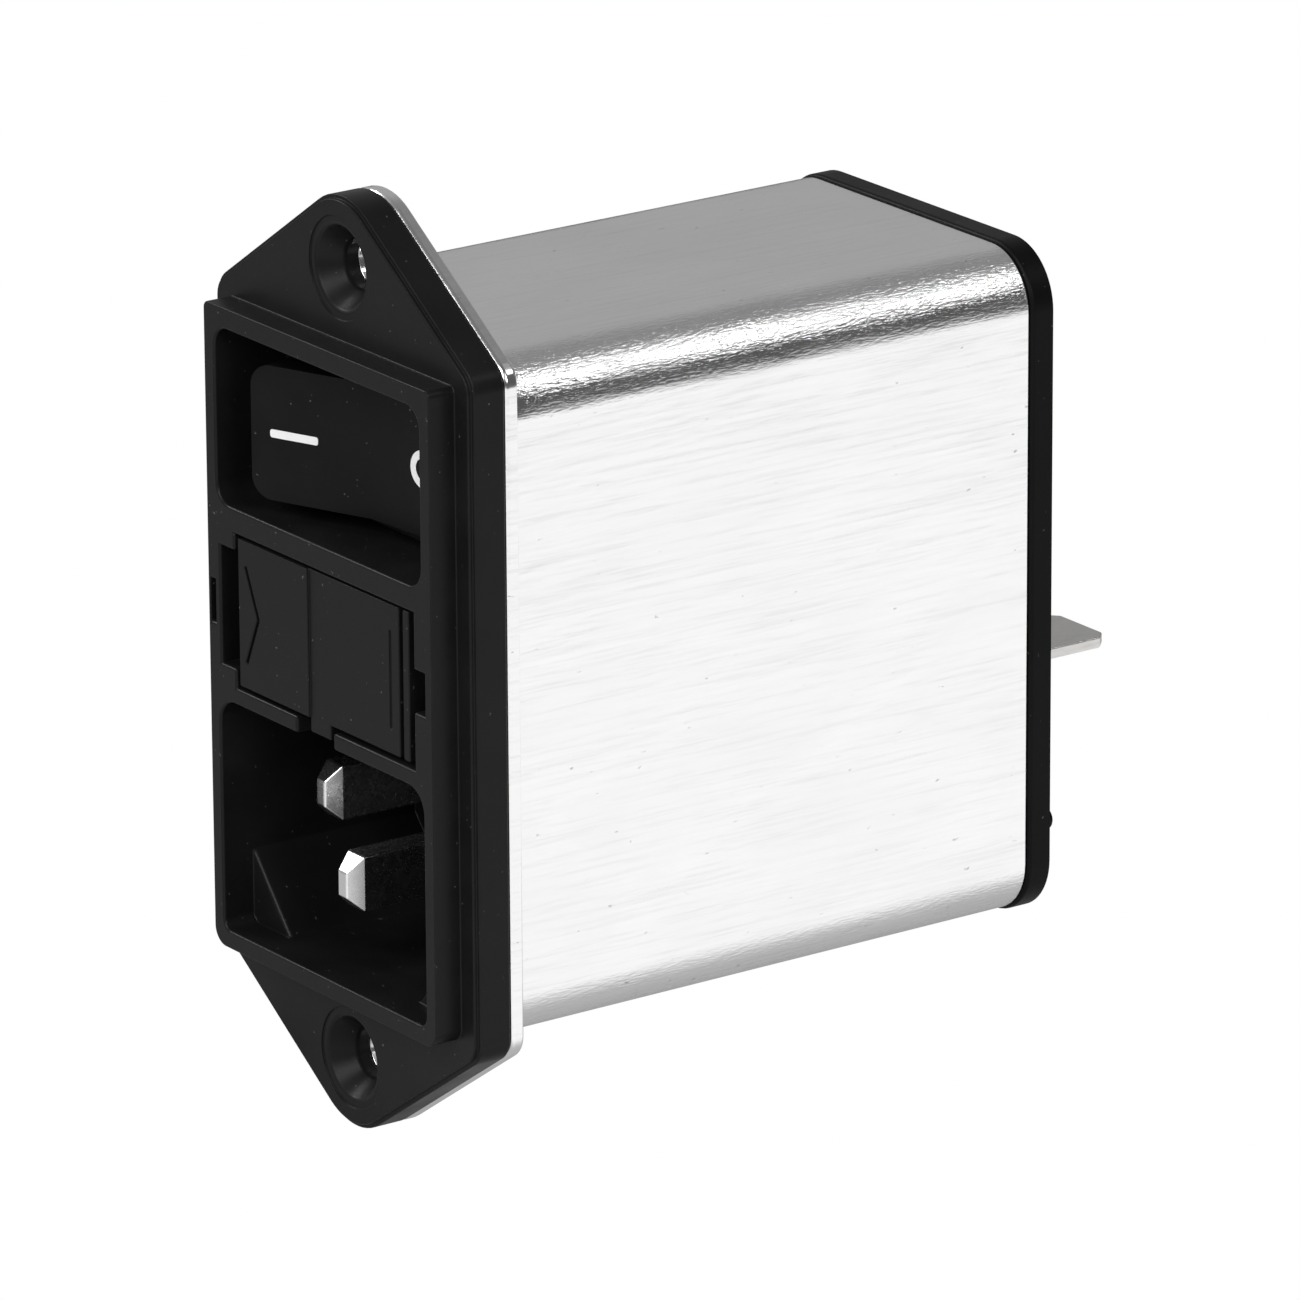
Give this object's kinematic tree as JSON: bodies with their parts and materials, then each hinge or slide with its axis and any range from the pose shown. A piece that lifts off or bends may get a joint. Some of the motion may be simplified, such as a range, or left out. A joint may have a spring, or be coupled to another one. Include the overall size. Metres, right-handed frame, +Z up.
{
  "type": "emi line filter",
  "caption": "Power inlet filter for panel mounting: keyed inlet, fuse drawer and rocker switch in one moulded front, on a flanged steel can with blade tabs behind.",
  "frame": {"origin": "middle of the two fixing holes, on the mounting face, which is the rear face of the metal flange", "axes": "+X to the right seen from the front, +Y into the panel, towards the tabs, +Z up, from the inlet towards the switch"},
  "size_m": [0.0306, 0.0592, 0.0662],
  "materials": {
    "moulding": "fine satin moulding",
    "drawer_plastic": "fine satin moulding",
    "rocker_plastic": "satin gloss moulding",
    "cap_plastic": "matt moulding",
    "can_steel": "bright nickel-plated deep-drawn steel",
    "pin_metal": "nickel plated",
    "tab_metal": "tin plated",
    "contact_brass": "bare stamped strip",
    "spring_steel": "drawn wire",
    "fuse_glass": "clear",
    "fuse_metal": "nickel plated",
    "board_laminate": "solder mask",
    "core_coating": "epoxy coated ferrite",
    "divider_plastic": "natural moulding",
    "winding_copper": "enamelled round wire",
    "box_capacitor": "moulded box",
    "disc_capacitor": "dipped coating",
    "resistor_body": "dipped coating"
  },
  "bodies": {
    "housing": {"front_housing": "moulding", "metal_can": "can_steel", "rear_cap": "cap_plastic", "line_pin": "pin_metal", "neutral_pin": "pin_metal", "earth_pin": "pin_metal", "switch_base": "moulding", "line_switch_feed": "contact_brass", "neutral_switch_feed": "contact_brass", "line_switch_contact": "contact_brass", "neutral_switch_contact": "contact_brass", "line_fuse_clip_left": "contact_brass", "line_fuse_clip_right": "contact_brass", "neutral_fuse_clip_left": "contact_brass", "neutral_fuse_clip_right": "contact_brass", "circuit_board": "board_laminate", "choke_core": "core_coating", "choke_divider": "divider_plastic", "line_winding": "winding_copper", "neutral_winding": "winding_copper", "x_capacitor": "box_capacitor", "line_y_capacitor": "disc_capacitor", "neutral_y_capacitor": "disc_capacitor", "bleed_resistor": "resistor_body", "line_tab": "tab_metal", "neutral_tab": "tab_metal", "earth_tab": "tab_metal", "earth_strap": "tab_metal"},
    "rocker": {"rocker": "rocker_plastic", "line_plunger": "contact_brass", "neutral_plunger": "contact_brass", "line_plunger_spring": "spring_steel", "neutral_plunger_spring": "spring_steel"},
    "bridges": {"line_bridge": "contact_brass", "neutral_bridge": "contact_brass"},
    "drawer": {"fuse_drawer": "drawer_plastic", "line_fuse_tube": "fuse_glass", "line_fuse_cap_left": "fuse_metal", "line_fuse_cap_right": "fuse_metal", "line_fuse_wire": "fuse_metal", "neutral_fuse_tube": "fuse_glass", "neutral_fuse_cap_left": "fuse_metal", "neutral_fuse_cap_right": "fuse_metal", "neutral_fuse_wire": "fuse_metal"}
  },
  "joints": [
    {"name": "rocker_tilt", "type": "hinge", "parent": "housing", "child": "rocker", "pos_m": [0, 0.00105, 0.01515], "axis": [0, 0, 1], "range_deg": [-27, 0]},
    {"name": "bridge_tilt", "type": "hinge", "parent": "housing", "child": "bridges", "pos_m": [0, 0.0069, 0.01515], "axis": [0, 0, 1], "range_deg": [0, 14]},
    {"name": "drawer_slide", "type": "slide", "parent": "housing", "child": "drawer", "axis": [0, -1, 0], "range_m": [0, 0.016]}
  ],
  "couplings": [
    {"joint": "bridge_tilt", "follows": "rocker_tilt", "ratio": -0.51852}
  ]
}
